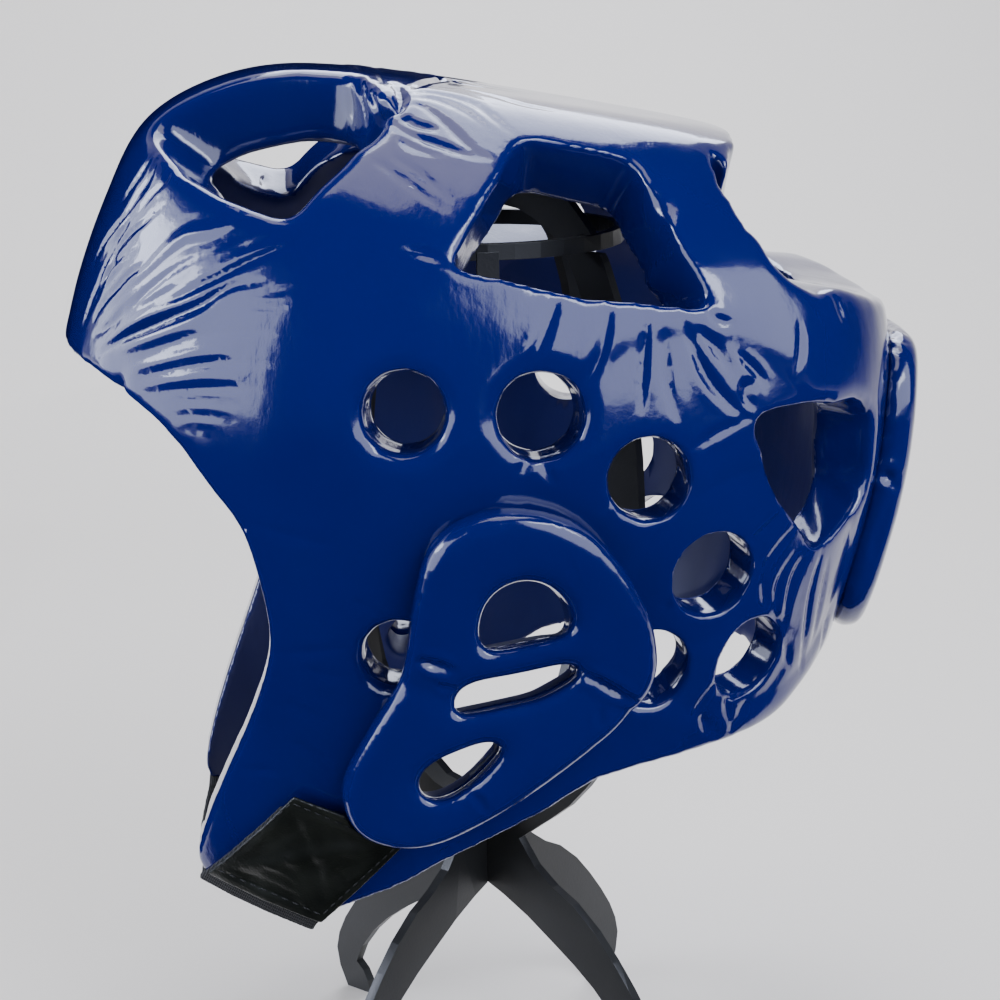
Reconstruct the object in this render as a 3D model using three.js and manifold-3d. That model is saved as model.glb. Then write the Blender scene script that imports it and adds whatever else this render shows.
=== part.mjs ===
// Taekwondo headgear on its plug-together display stand.
// Millimetres, +Z up. The wearer faces -Y and the wearer's left is +X. The origin is on the
// surface that the stand rests on, under the middle of the whole object.
import * as THREE from "three";
import { mergeVertices } from "three/addons/utils/BufferGeometryUtils.js";
import Module from "manifold-3d";

const wasm = await Module();
wasm.setup();

// Foam shell: sizes are measured from the ear line, in the shell's own level frame
const shellWidth = 200;
const foreheadReach = 140;
const napeReach = 118;
const crownHeight = 124;
const flapDepth = 150;
const foamThickness = 21;

// Openings in the shell
const archWidth = 48;
const windowCornerRadius = 5;
const cutOutside = 20;
const cutInside = 42;
const ventDiameter = 21;
const ventLipRadius = 4.5;
const ventSides = 12;

// Raised pads
const earPadLength = 82;
const earPadHeight = 108;
const earPadThickness = 12;
const earPadBack = 2;
const earPadDrop = 35.5;
const nestlingGap = 0.3;
const creaseDepth = 2.6;
const napePadWidth = 92;
const napePadHeight = 95;
const napePadRise = 25;
const napePadThickness = 8.5;
const padCornerRadius = 24;

// Chin strap and its tab
const strapWidth = 36;
const strapThickness = 2;
const strapRun = 38;
const strapSag = 6;
const tabThickness = 1.6;
const tabOverlap = 2.5;

// Display stand
const standHeight = 292;
const footRadius = 69;
const waistHeight = 74;
const waistWidth = 30;
const cageRadius = 64;
const ringDrop = 23;
const ringHeight = standHeight - ringDrop;
const ringRadius = 46;
const ringBand = 4.8;
const ringWall = 3;
const ringTabWidth = 6.5;
const ringTabDrop = 10;
const plateThickness = 3.2;
const plateBlade = 12;
const standTurn = 45;

// How the headgear sits on the stand
const headgearTilt = 10.4;
const headgearSetback = 3.3;

const radians = THREE.MathUtils.degToRad;
const smallStep = 1e-3;

// Level sections of the shell, from under the flaps to the crown. Heights are shares of
// crownHeight above the ear line and of flapDepth below it, widths of shellWidth, fronts and
// middles of foreheadReach, backs of napeReach, walls of foamThickness. square is the
// superellipse power.
const sections = [
  { height: -1.0, width: 0.56, front: 0.557, back: 0.525, middle: -0.07, square: 2.2, wall: 0.6 },
  { height: -0.8, width: 0.68, front: 0.657, back: 0.644, middle: -0.04, square: 2.2, wall: 0.6 },
  { height: -0.6, width: 0.79, front: 0.771, back: 0.763, middle: -0.01, square: 2.3, wall: 0.62 },
  { height: -0.367, width: 0.89, front: 0.871, back: 0.864, middle: 0.014, square: 2.4, wall: 0.66 },
  { height: -0.133, width: 0.96, front: 0.943, back: 0.93, middle: 0.021, square: 2.4, wall: 0.74 },
  { height: 0.161, width: 1.0, front: 1.0, back: 0.966, middle: 0.021, square: 2.4, wall: 0.86 },
  { height: 0.403, width: 0.99, front: 0.993, back: 0.958, middle: 0.021, square: 2.4, wall: 0.96 },
  { height: 0.629, width: 0.92, front: 0.95, back: 0.91, middle: 0.021, square: 2.4, wall: 1.0 },
  { height: 0.79, width: 0.78, front: 0.88, back: 0.814, middle: 0.0, square: 2.4, wall: 1.0 },
  { height: 0.903, width: 0.62, front: 0.75, back: 0.695, middle: -0.014, square: 2.4, wall: 1.0 },
  { height: 0.976, width: 0.48, front: 0.58, back: 0.593, middle: -0.029, square: 2.5, wall: 1.0 },
  { height: 1.0, width: 0.3, front: 0.357, back: 0.424, middle: -0.029, square: 2.6, wall: 1.0 },
];
const outerSteps = 44;
const outerRows = 2;
const innerSteps = 30;
const innerRows = 1;

// The face opening's edge, from under the forehead down to the flap's tip, then the bottom
// edge, from the flap's end back to the nape. along is a share of foreheadReach in front of
// the ear line and of napeReach behind it; up is a share as in the sections.
const faceEdge = [
  { along: -0.936, up: 0.242 },
  { along: -0.857, up: 0.226 },
  { along: -0.729, up: 0.161 },
  { along: -0.629, up: 0.056 },
  { along: -0.557, up: -0.017 },
  { along: -0.507, up: -0.107 },
  { along: -0.471, up: -0.2 },
  { along: -0.461, up: -0.28 },
  { along: -0.479, up: -0.407 },
  { along: -0.511, up: -0.547 },
  { along: -0.536, up: -0.68 },
  { along: -0.541, up: -0.76 },
  { along: -0.521, up: -0.795 },
];
const bottomEdge = [
  { along: -0.276, up: -0.84 },
  { along: -0.214, up: -0.785 },
  { along: -0.114, up: -0.717 },
  { along: -0.021, up: -0.633 },
  { along: 0.169, up: -0.51 },
  { along: 0.297, up: -0.417 },
  { along: 0.492, up: -0.358 },
  { along: 0.653, up: -0.32 },
  { along: 0.763, up: -0.29 },
  { along: 0.873, up: -0.193 },
  { along: 0.966, up: -0.133 },
];

// Corners of the windows on the left side, given as places on the shell's outer surface, each
// with the way that the window's wall runs inward from it.
const frontWindow = [
  { along: -0.786, up: 0.727, in: [-0.35, 0.85, -0.45] },
  { along: -0.7, up: 0.7, in: [-0.65, 0.55, -0.45] },
  { along: -0.546, up: 0.67, in: [-0.93, 0.05, -0.38] },
  { along: -0.479, up: 0.782, in: [-0.95, 0.04, -0.25] },
  { along: -0.42, up: 0.863, in: [-0.85, 0.04, -0.5] },
  { along: -0.357, up: 0.944, in: [-0.5, 0.1, -0.85] },
];
const sideWindow = [
  { along: -0.109, up: 0.924, in: [-0.6, 0.1, -0.8] },
  { along: 0.147, up: 0.914, in: [-0.6, -0.12, -0.8] },
  { along: 0.261, up: 0.766, in: [-0.7, -0.3, -0.6] },
  { along: 0.364, up: 0.637, in: [-0.75, -0.5, -0.35] },
  { along: 0.059, up: 0.617, in: [-0.85, 0.0, -0.45] },
  { along: -0.236, up: 0.637, in: [-0.85, 0.15, -0.45] },
  { along: -0.177, up: 0.777, in: [-0.75, 0.15, -0.6] },
];
const rearWindow = [
  { along: 0.498, up: 0.403, in: [-0.9, -0.4, -0.1] },
  { along: 0.795, up: 0.452, in: [-0.65, -0.76, -0.1] },
  { along: 0.866, up: 0.41, in: [-0.55, -0.84, -0.05] },
  { along: 0.898, up: 0.226, in: [-0.44, -0.9, 0.0] },
  { along: 0.758, up: 0.089, in: [-0.65, -0.76, 0.1] },
  { along: 0.596, up: 0.26, in: [-0.88, -0.47, 0.0] },
];

// The ends of the middle arch's side edge, in front and at the crown
const archFront = { along: -0.85, up: 0.79, in: [0, 0.91, -0.41] };
const archBack = { along: -0.471, up: 1.0, in: [0, 0, -1] };

// Half of the outline of the opening behind the crown, from the crown's middle round the
// rear arm to the middle of the back band, with the way that its wall runs inward.
const crownOpening = [
  { across: 0.0, along: 0.46, up: 1.0, in: [0, 0, -1] },
  { across: 0.34, along: 0.43, up: 0.98, in: [-0.1, 0, -1] },
  { across: 0.5, along: 0.395, up: 0.925, in: [-0.3, 0, -0.95] },
  { across: 0.575, along: 0.366, up: 0.89, in: [-0.7, -0.15, -0.7] },
  { across: 0.685, along: 0.44, up: 0.806, in: [-0.75, -0.2, -0.6] },
  { across: 0.74, along: 0.525, up: 0.729, in: [-0.85, -0.3, -0.4] },
  { across: 0.745, along: 0.6, up: 0.695, in: [-0.8, -0.5, -0.2] },
  { across: 0.71, along: 0.66, up: 0.685, in: [-0.7, -0.7, -0.1] },
  { across: 0.5, along: 0.83, up: 0.68, in: [-0.45, -0.9, 0] },
  { across: 0.25, along: 0.93, up: 0.66, in: [-0.2, -1, 0] },
  { across: 0.0, along: 0.97, up: 0.65, in: [0, -1, 0] },
];

// Round vents on the left side
const vents = [
  { along: -0.28, up: 0.309 },
  { along: -0.016, up: 0.352 },
  { along: 0.268, up: 0.241 },
  { along: 0.484, up: 0.026 },
  { along: 0.641, up: -0.155 },
  { along: 0.364, up: -0.184 },
  { along: -0.207, up: -0.214 },
];

// Outline of the ear pad and of the holes through it, as shares of earPadLength and
// earPadHeight from the pad's middle.
const earPadOutline = [
  { along: -0.073, up: 0.5 },
  { along: 0.146, up: 0.477 },
  { along: 0.329, up: 0.366 },
  { along: 0.463, up: 0.218 },
  { along: 0.5, up: 0.079 },
  { along: 0.427, up: -0.032 },
  { along: 0.244, up: -0.208 },
  { along: 0.024, up: -0.384 },
  { along: -0.195, up: -0.5 },
  { along: -0.402, up: -0.491 },
  { along: -0.5, up: -0.375 },
  { along: -0.451, up: -0.19 },
  { along: -0.372, up: -0.005 },
  { along: -0.372, up: 0.199 },
  { along: -0.348, up: 0.375 },
  { along: -0.22, up: 0.468 },
];
const earHole = [
  { along: -0.134, up: 0.097 },
  { along: -0.146, up: 0.22 },
  { along: -0.098, up: 0.28 },
  { along: -0.012, up: 0.315 },
  { along: 0.078, up: 0.3 },
  { along: 0.146, up: 0.26 },
  { along: 0.187, up: 0.185 },
];
const upperSlot = [
  { along: -0.188, up: -0.087 },
  { along: -0.165, up: 0.01 },
  { along: 0.01, up: 0.053 },
  { along: 0.215, up: 0.115 },
  { along: 0.25, up: 0.085 },
  { along: 0.117, up: 0.001 },
  { along: -0.05, up: -0.047 },
];
const lowerSlot = [
  { along: -0.261, up: -0.28 },
  { along: -0.213, up: -0.215 },
  { along: -0.087, up: -0.155 },
  { along: -0.012, up: -0.125 },
  { along: 0.037, up: -0.14 },
  { along: -0.037, up: -0.24 },
  { along: -0.102, up: -0.299 },
  { along: -0.195, up: -0.335 },
];
const earHoleDrop = 14;
const earHoleCorner = 3;

// Fold lines across the ear pad, each from its edge to an end of the upper slot
const earPadFolds = [
  [{ along: -0.42, up: 0.02 }, { along: -0.13, up: -0.01 }],
  [{ along: 0.23, up: 0.08 }, { along: 0.52, up: -0.03 }],
];

// Outer outline of half a stand plate, from the waist up round the cage to the top. out is a
// share of cageRadius, up of the height between the waist and the top.
const cageOutline = [
  { out: 0.37, up: 0.03 },
  { out: 0.6, up: 0.085 },
  { out: 0.84, up: 0.185 },
  { out: 0.98, up: 0.35 },
  { out: 1.0, up: 0.52 },
  { out: 0.95, up: 0.7 },
  { out: 0.84, up: 0.84 },
  { out: 0.65, up: 0.935 },
  { out: 0.35, up: 0.987 },
];

// Upper and lower edges of a leg. out is a share of footRadius, up of waistHeight. The foot's
// flat sole runs from the lower edge's first place to the upper edge's first place.
const legTop = [
  { out: 0.93, up: 0.0 },
  { out: 0.993, up: 0.13 },
  { out: 0.985, up: 0.24 },
  { out: 0.924, up: 0.36 },
  { out: 0.814, up: 0.5 },
  { out: 0.676, up: 0.65 },
  { out: 0.502, up: 0.78 },
  { out: 0.35, up: 0.85 },
];
const legUnder = [
  { out: 0.78, up: 0.0 },
  { out: 0.8, up: 0.09 },
  { out: 0.862, up: 0.15 },
  { out: 0.763, up: 0.3 },
  { out: 0.62, up: 0.43 },
  { out: 0.43, up: 0.55 },
  { out: 0.2, up: 0.68 },
  { out: 0.0, up: 0.76 },
];

function blend(a, b, c, d, t) {
  const linear = (c - a) * t;
  const square = (2 * a - 5 * b + 4 * c - d) * t * t;
  const cube = (3 * b - a - 3 * c + d) * t * t * t;
  return 0.5 * (2 * b + linear + square + cube);
}

function sectionAt(level) {
  const last = sections.length - 1;
  const index = Math.min(Math.floor(level), last - 1);
  const share = level - index;
  const rows = [-1, 0, 1, 2].map((step) => sections[Math.min(Math.max(index + step, 0), last)]);
  const column = (name) => blend(...rows.map((row) => row[name]), share);
  const height = column("height");
  return {
    z: height * (height > 0 ? crownHeight : flapDepth),
    halfWidth: (column("width") * shellWidth) / 2,
    front: column("front") * foreheadReach,
    back: column("back") * napeReach,
    middle: column("middle") * foreheadReach,
    wall: column("wall") * foamThickness,
    square: column("square"),
  };
}

// A point of the shell's outer surface. The angle starts at the back and turns to the left.
function shellPoint(level, angle) {
  const row = sectionAt(level);
  const power = 2 / row.square;
  const across = Math.sin(angle);
  const along = Math.cos(angle);
  const reach = along > 0 ? row.back : row.front;
  return new THREE.Vector3(
    row.halfWidth * Math.sign(across) * Math.abs(across) ** power,
    row.middle + reach * Math.sign(along) * Math.abs(along) ** power,
    row.z,
  );
}

function shellNormal(level, angle) {
  const top = sections.length - 1;
  const low = Math.max(level - smallStep, 0);
  const high = Math.min(level + smallStep, top);
  const up = shellPoint(high, angle).sub(shellPoint(low, angle));
  const round = shellPoint(level, angle + smallStep).sub(shellPoint(level, angle - smallStep));
  return up.cross(round).normalize();
}

function place(along, up) {
  return {
    y: along * (along > 0 ? napeReach : foreheadReach),
    z: up * (up > 0 ? crownHeight : flapDepth),
  };
}

function bisect(rising, low, high) {
  for (let turn = 0; turn < 40; turn += 1) {
    const half = (low + high) / 2;
    if (rising(half) < 0) low = half;
    else high = half;
  }
  return (low + high) / 2;
}

// The outer surface's point and normal on the left side, at a given place seen from the side
function onLeftSide({ along, up }) {
  const { y, z } = place(along, up);
  const level = bisect((value) => sectionAt(value).z - z, 0, sections.length - 1);
  const angle = bisect((value) => y - shellPoint(level, value).y, 0, Math.PI);
  return { point: shellPoint(level, angle), normal: shellNormal(level, angle) };
}

function solidFrom(positions, triangles) {
  const vertProperties = new Float32Array(positions.flatMap((p) => [p.x, p.y, p.z]));
  let volume = 0;
  for (const [a, b, c] of triangles) {
    volume += positions[a].dot(positions[b].clone().cross(positions[c]));
  }
  const facing = volume > 0 ? triangles : triangles.map(([a, b, c]) => [a, c, b]);
  const triVerts = new Uint32Array(facing.flat());
  return new wasm.Manifold(new wasm.Mesh({ numProp: 3, vertProperties, triVerts }));
}

function solidFromGeometry(geometry) {
  const bare = geometry.clone();
  bare.deleteAttribute("normal");
  bare.deleteAttribute("uv");
  const merged = mergeVertices(bare, 1e-4);
  const at = merged.getAttribute("position");
  const positions = [];
  for (let i = 0; i < at.count; i += 1) {
    positions.push(new THREE.Vector3().fromBufferAttribute(at, i));
  }
  const triangles = [];
  const index = merged.getIndex();
  for (let i = 0; i < index.count; i += 3) {
    const corners = [index.getX(i), index.getX(i + 1), index.getX(i + 2)];
    if (new Set(corners).size === 3) triangles.push(corners);
  }
  return solidFrom(positions, triangles);
}

function geometryFrom(solid) {
  const mesh = solid.getMesh();
  const geometry = new THREE.BufferGeometry();
  const positions = new Float32Array((mesh.vertProperties.length / mesh.numProp) * 3);
  for (let i = 0; i < positions.length / 3; i += 1) {
    for (let k = 0; k < 3; k += 1) {
      positions[3 * i + k] = mesh.vertProperties[mesh.numProp * i + k];
    }
  }
  geometry.setAttribute("position", new THREE.BufferAttribute(positions, 3));
  geometry.setIndex(Array.from(mesh.triVerts));
  geometry.computeVertexNormals();
  return geometry;
}

// A closed body between two loops of points that match one to one
function ruledSolid(outerLoop, innerLoop) {
  const count = outerLoop.length;
  const middle = (loop) => {
    const sum = new THREE.Vector3();
    loop.forEach((point) => sum.add(point));
    return sum.divideScalar(loop.length);
  };
  const positions = [...outerLoop, ...innerLoop, middle(outerLoop), middle(innerLoop)];
  const triangles = [];
  for (let i = 0; i < count; i += 1) {
    const next = (i + 1) % count;
    triangles.push([i, next, count + next], [i, count + next, count + i]);
    triangles.push([2 * count, next, i], [2 * count + 1, count + i, count + next]);
  }
  return solidFrom(positions, triangles);
}

// A closed head form whose surface lies outside the shell's outer surface by an offset that
// depends on the level
function formAround(offsetAt, shellSteps, rowsPerSection) {
  const positions = [];
  const triangles = [];
  const rows = (sections.length - 1) * rowsPerSection;
  for (let row = 0; row <= rows; row += 1) {
    for (let step = 0; step < shellSteps; step += 1) {
      const level = row / rowsPerSection;
      const angle = (2 * Math.PI * (step + 0.5)) / shellSteps;
      const normal = shellNormal(level, angle);
      positions.push(shellPoint(level, angle).addScaledVector(normal, offsetAt(level)));
    }
  }
  for (let row = 0; row < rows; row += 1) {
    for (let step = 0; step < shellSteps; step += 1) {
      const a = row * shellSteps + step;
      const b = row * shellSteps + ((step + 1) % shellSteps);
      triangles.push([a, b, b + shellSteps], [a, b + shellSteps, a + shellSteps]);
    }
  }
  const last = rows * shellSteps;
  const foot = positions.length;
  const topRow = sectionAt(sections.length - 1);
  positions.push(new THREE.Vector3(0, 0, positions[0].z));
  positions.push(new THREE.Vector3(0, topRow.middle, topRow.z + offsetAt(sections.length - 1)));
  for (let step = 0; step < shellSteps; step += 1) {
    const next = (step + 1) % shellSteps;
    triangles.push([foot, next, step], [foot + 1, last + step, last + next]);
  }
  return solidFrom(positions, triangles);
}

const headForm = (offset) => formAround(() => offset, outerSteps, outerRows);
const hollowForm = () => formAround((level) => -sectionAt(level).wall, innerSteps, innerRows);

// Rounds the corners of a closed loop of points by a small curve at each
function roundedLoop(points, radius, steps = 2) {
  const loop = [];
  points.forEach((corner, i) => {
    const before = points[(i + points.length - 1) % points.length];
    const after = points[(i + 1) % points.length];
    const cut = (other) => {
      const length = corner.distanceTo(other);
      return corner.clone().lerp(other, Math.min(radius / length, 0.45));
    };
    const curve = new THREE.QuadraticBezierCurve3(cut(before), corner, cut(after));
    loop.push(...curve.getPoints(steps));
  });
  return loop;
}

// A cutter through the shell from corners that each have a point and an inward way
function windowCutter(corners, side) {
  const moved = (distance) => {
    const points = corners.map(({ point, way }) => point.clone().addScaledVector(way, distance));
    return roundedLoop(points, windowCornerRadius).map((p) => new THREE.Vector3(p.x * side, p.y, p.z));
  };
  return ruledSolid(moved(-cutOutside), moved(cutInside));
}

const wayOf = (spot) => new THREE.Vector3(...spot.in).normalize();
const surfaceCorner = (spot) => ({ point: onLeftSide(spot).point, way: wayOf(spot) });

function cornerAt(across, spot) {
  const { y, z } = place(spot.along, spot.up);
  return { point: new THREE.Vector3(across, y, z), way: wayOf(spot) };
}

function frontWindowCutter(side) {
  const corners = frontWindow.map(surfaceCorner);
  corners.push(cornerAt(archWidth / 2, archBack), cornerAt(archWidth / 2, archFront));
  return windowCutter(corners, side);
}

function crownOpeningCutter() {
  const left = crownOpening.map((spot) => cornerAt((spot.across * shellWidth) / 2, spot));
  const flip = (v) => new THREE.Vector3(-v.x, v.y, v.z);
  const right = left.slice(1, -1).reverse();
  const all = [...left, ...right.map(({ point, way }) => ({ point: flip(point), way: flip(way) }))];
  const outer = all.map(({ point, way }) => point.clone().addScaledVector(way, -3 * foamThickness));
  const inner = all.map(({ point, way }) => point.clone().addScaledVector(way, cutInside));
  return ruledSolid(outer, inner);
}

// A round vent with a rounded mouth on the outside
function ventCutter(spot, side) {
  const { point, normal } = onLeftSide(spot);
  const radius = ventDiameter / 2;
  const profile = [new THREE.Vector2(0, -2 * foamThickness)];
  profile.push(new THREE.Vector2(radius, -2 * foamThickness));
  for (let step = 0; step <= 2; step += 1) {
    const turn = (step / 2) * (Math.PI / 2);
    const out = radius + ventLipRadius * (1 - Math.cos(turn));
    profile.push(new THREE.Vector2(out, -ventLipRadius * (1 - Math.sin(turn))));
  }
  profile.push(new THREE.Vector2(radius + ventLipRadius, foamThickness / 2));
  profile.push(new THREE.Vector2(0, foamThickness / 2));
  const geometry = new THREE.LatheGeometry(profile, ventSides);
  const turn = new THREE.Quaternion().setFromUnitVectors(new THREE.Vector3(0, 1, 0), normal);
  geometry.applyQuaternion(turn);
  geometry.translate(point.x, point.y, point.z);
  if (side < 0) geometry.scale(-1, 1, 1);
  return solidFromGeometry(geometry);
}

function prismAlongX(shape, halfLength, curveSteps) {
  const geometry = new THREE.ExtrudeGeometry(shape, {
    depth: 2 * halfLength,
    bevelEnabled: false,
    curveSegments: curveSteps,
  });
  // The shape's x and y become Y and Z, and its depth becomes X
  geometry.applyMatrix4(
    new THREE.Matrix4().makeBasis(
      new THREE.Vector3(0, 1, 0),
      new THREE.Vector3(0, 0, 1),
      new THREE.Vector3(1, 0, 0),
    ),
  );
  geometry.translate(-halfLength, 0, 0);
  return solidFromGeometry(geometry);
}

const flat = (spot) => {
  const { y, z } = place(spot.along, spot.up);
  return new THREE.Vector2(y, z);
};

// Everything inside the headgear's outline as seen from the side
function sideOutline() {
  const far = 2 * shellWidth;
  const shape = new THREE.Shape();
  const start = flat(faceEdge[0]);
  shape.moveTo(-far, start.y);
  shape.lineTo(start.x, start.y);
  shape.splineThru(faceEdge.slice(1).map(flat));
  const end = flat(bottomEdge[0]);
  shape.lineTo(end.x, end.y);
  shape.splineThru(bottomEdge.slice(1).map(flat));
  shape.lineTo(far, flat(bottomEdge.at(-1)).y);
  shape.lineTo(far, far);
  shape.lineTo(-far, far);
  shape.closePath();
  return prismAlongX(shape, shellWidth, 2);
}

const earPadMiddle = new THREE.Vector2(earPadBack, -earPadDrop);

function padSpot({ along, up }) {
  return new THREE.Vector2(along * earPadLength, up * earPadHeight).add(earPadMiddle);
}

function smoothLoop(spots, count) {
  const points = spots.map(({ x, y }) => new THREE.Vector3(x, y, 0));
  const curve = new THREE.CatmullRomCurve3(points, true, "centripetal");
  return curve.getPoints(count).slice(0, -1).map((p) => new THREE.Vector2(p.x, p.y));
}

// A hole through the ear pad and the shell behind it, running slightly down as it goes in
function earHoleCutter(loop, side) {
  const outside = shellWidth / 2 + 2 * earPadThickness;
  const inside = shellWidth / 2 - 3 * foamThickness;
  const surface = shellWidth / 2;
  const slope = Math.tan(radians(earHoleDrop));
  const ring = (x) => loop.map((p) => new THREE.Vector3(side * x, p.x, p.y + (x - surface) * slope));
  return ruledSolid(ring(outside), ring(inside));
}

function earHoleCutters(side) {
  return [earHole, upperSlot, lowerSlot].map((outline) => {
    const corners = outline.map(padSpot).map((p) => new THREE.Vector3(p.x, p.y, 0));
    return earHoleCutter(roundedLoop(corners, earHoleCorner, 2), side);
  });
}

function foldCutter([from, to], side) {
  const spots = [padSpot(from), padSpot(to)];
  const onPad = spots.map((p) => {
    const along = p.x / (p.x > 0 ? napeReach : foreheadReach);
    const up = p.y / (p.y > 0 ? crownHeight : flapDepth);
    const { point, normal } = onLeftSide({ along, up });
    return { at: point.addScaledVector(normal, earPadThickness), normal };
  });
  const way = onPad[1].at.clone().sub(onPad[0].at).normalize();
  const rings = onPad.map(({ at, normal }) => {
    const aside = way.clone().cross(normal).normalize().multiplyScalar(creaseDepth);
    const inward = normal.clone().multiplyScalar(creaseDepth);
    const corners = [
      at.clone().add(aside),
      at.clone().sub(inward),
      at.clone().sub(aside),
      at.clone().add(inward),
    ];
    return corners.map((p) => new THREE.Vector3(p.x * side, p.y, p.z));
  });
  return ruledSolid(rings[0], rings[1]);
}

const outerForm = headForm(0);
const seatForm = headForm(nestlingGap);

function foamShell() {
  let shell = outerForm.subtract(hollowForm()).intersect(sideOutline());
  shell = shell.subtract(crownOpeningCutter());
  for (const side of [1, -1]) {
    shell = shell.subtract(frontWindowCutter(side));
    shell = shell.subtract(windowCutter(sideWindow.map(surfaceCorner), side));
    shell = shell.subtract(windowCutter(rearWindow.map(surfaceCorner), side));
    for (const vent of vents) shell = shell.subtract(ventCutter(vent, side));
    for (const hole of earHoleCutters(side)) shell = shell.subtract(hole);
  }
  return shell;
}

function halfSpaceX(side) {
  const far = 2 * shellWidth;
  const box = new THREE.BoxGeometry(far, 2 * far, 2 * far);
  box.translate((side * far) / 2, 0, 0);
  return solidFromGeometry(box);
}

// Everything behind the ear pad's outline as seen from the side, grown by a clearance
function earPadBlock(side, clearance) {
  const loop = smoothLoop(earPadOutline.map(padSpot), 40);
  const grown = loop.map((spot, i) => {
    const before = loop[(i + loop.length - 1) % loop.length];
    const after = loop[(i + 1) % loop.length];
    const way = after.clone().sub(before).normalize();
    return new THREE.Vector2(spot.x - way.y * clearance, spot.y + way.x * clearance);
  });
  return prismAlongX(new THREE.Shape(grown), shellWidth, 1).intersect(halfSpaceX(side));
}

function earPad(side) {
  const block = earPadBlock(side, 0);
  let pad = headForm(earPadThickness).intersect(block).subtract(seatForm);
  for (const hole of earHoleCutters(side)) pad = pad.subtract(hole);
  for (const fold of earPadFolds) pad = pad.subtract(foldCutter(fold, side));
  return pad;
}

function roundedRectangle(width, height, radius) {
  const shape = new THREE.Shape();
  const x = width / 2;
  const y = height / 2;
  shape.moveTo(x, radius - y);
  shape.lineTo(x, y - radius);
  shape.absarc(x - radius, y - radius, radius, 0, Math.PI / 2);
  shape.absarc(radius - x, y - radius, radius, Math.PI / 2, Math.PI);
  shape.absarc(radius - x, radius - y, radius, Math.PI, 1.5 * Math.PI);
  shape.absarc(x - radius, radius - y, radius, 1.5 * Math.PI, 2 * Math.PI);
  return shape;
}

function napePad() {
  const outline = roundedRectangle(napePadWidth, napePadHeight, padCornerRadius);
  const geometry = new THREE.ExtrudeGeometry(outline, {
    depth: 2 * napeReach,
    bevelEnabled: false,
    curveSegments: 5,
  });
  geometry.rotateX(Math.PI / 2);
  geometry.translate(0, 2 * napeReach, napePadRise);
  const fold = new THREE.BoxGeometry(shellWidth, creaseDepth * 1.4, creaseDepth * 1.4);
  fold.rotateX(Math.PI / 4);
  const foldAt = napePadRise - napePadHeight * 0.1;
  fold.translate(0, napeReach + napePadThickness, foldAt);
  return headForm(napePadThickness)
    .intersect(solidFromGeometry(geometry))
    .subtract(seatForm)
    .subtract(solidFromGeometry(fold));
}

// The strap's own directions: alongEnd follows the flap's blunt end, down leaves it
const endFront = flat(faceEdge.at(-1));
const endBack = flat(bottomEdge[0]);
const endMiddle = endFront.clone().add(endBack).multiplyScalar(0.5);
const alongEnd = endBack.clone().sub(endFront).normalize();
const down = new THREE.Vector2(alongEnd.y, -alongEnd.x);
const upFlap = new THREE.Vector2(0.5, 0.866);

function strapOutline(from, to) {
  const half = alongEnd.clone().multiplyScalar(strapWidth / 2);
  const low = endMiddle.clone().addScaledVector(upFlap, from);
  const high = endMiddle.clone().addScaledVector(upFlap, to);
  return new THREE.Shape([
    low.clone().sub(half),
    low.clone().add(half),
    high.clone().add(half),
    high.clone().sub(half),
  ]);
}

// The elastic that runs flat from flap to flap under the chin, with a slight sag
function strapUnderChin() {
  const reach = shellWidth / 2;
  const hang = (share) => strapSag * (1 - share * share);
  const span = 0.28 * reach;
  const upper = [];
  for (let step = -4; step <= 4; step += 1) {
    upper.push(new THREE.Vector2((span * step) / 4, -hang(step / 4)));
  }
  const lower = upper.map((p) => new THREE.Vector2(p.x, p.y - strapThickness)).reverse();
  const shape = new THREE.Shape([
    new THREE.Vector2(-reach, 0),
    ...upper,
    new THREE.Vector2(reach, 0),
    new THREE.Vector2(reach, -strapThickness),
    ...lower,
    new THREE.Vector2(-reach, -strapThickness),
  ]);
  const geometry = new THREE.ExtrudeGeometry(shape, { depth: strapWidth, bevelEnabled: false });
  geometry.translate(0, -nestlingGap, -strapWidth / 2);
  geometry.applyMatrix4(
    new THREE.Matrix4().makeBasis(
      new THREE.Vector3(1, 0, 0),
      new THREE.Vector3(0, -down.x, -down.y),
      new THREE.Vector3(0, alongEnd.x, alongEnd.y),
    ),
  );
  geometry.translate(0, endMiddle.x, endMiddle.y);
  return solidFromGeometry(geometry);
}

function chinStrap() {
  const skin = headForm(nestlingGap + strapThickness);
  const band = prismAlongX(strapOutline(-strapThickness - 1, strapRun), shellWidth, 1);
  const onFlaps = skin.subtract(seatForm).intersect(band).intersect(sideReach());
  const under = strapUnderChin().intersect(skin);
  return onFlaps
    .add(under)
    .subtract(earPadBlock(1, 2 * nestlingGap))
    .subtract(earPadBlock(-1, 2 * nestlingGap));
}

// The region that the strap may use: the shell's outline grown by the strap below its ends
function sideReach() {
  const far = 2 * shellWidth;
  const low = endMiddle.clone().addScaledVector(down, nestlingGap + strapThickness);
  const a = low.clone().addScaledVector(alongEnd, -far);
  const b = low.clone().addScaledVector(alongEnd, far);
  const c = b.clone().addScaledVector(down, -2 * far);
  const d = a.clone().addScaledVector(down, -2 * far);
  return prismAlongX(new THREE.Shape([a, b, c, d]), shellWidth, 1);
}

function strapTab() {
  const base = nestlingGap + strapThickness + nestlingGap;
  const outline = prismAlongX(strapOutline(tabOverlap, strapRun + 6), shellWidth, 1);
  return headForm(base + tabThickness)
    .subtract(headForm(base))
    .intersect(outline)
    .intersect(halfSpaceX(1))
    .subtract(earPadBlock(1, 2 * nestlingGap));
}

function meshOf(name, solid, material) {
  const mesh = new THREE.Mesh(geometryFrom(solid), material);
  mesh.name = name;
  return mesh;
}

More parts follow.
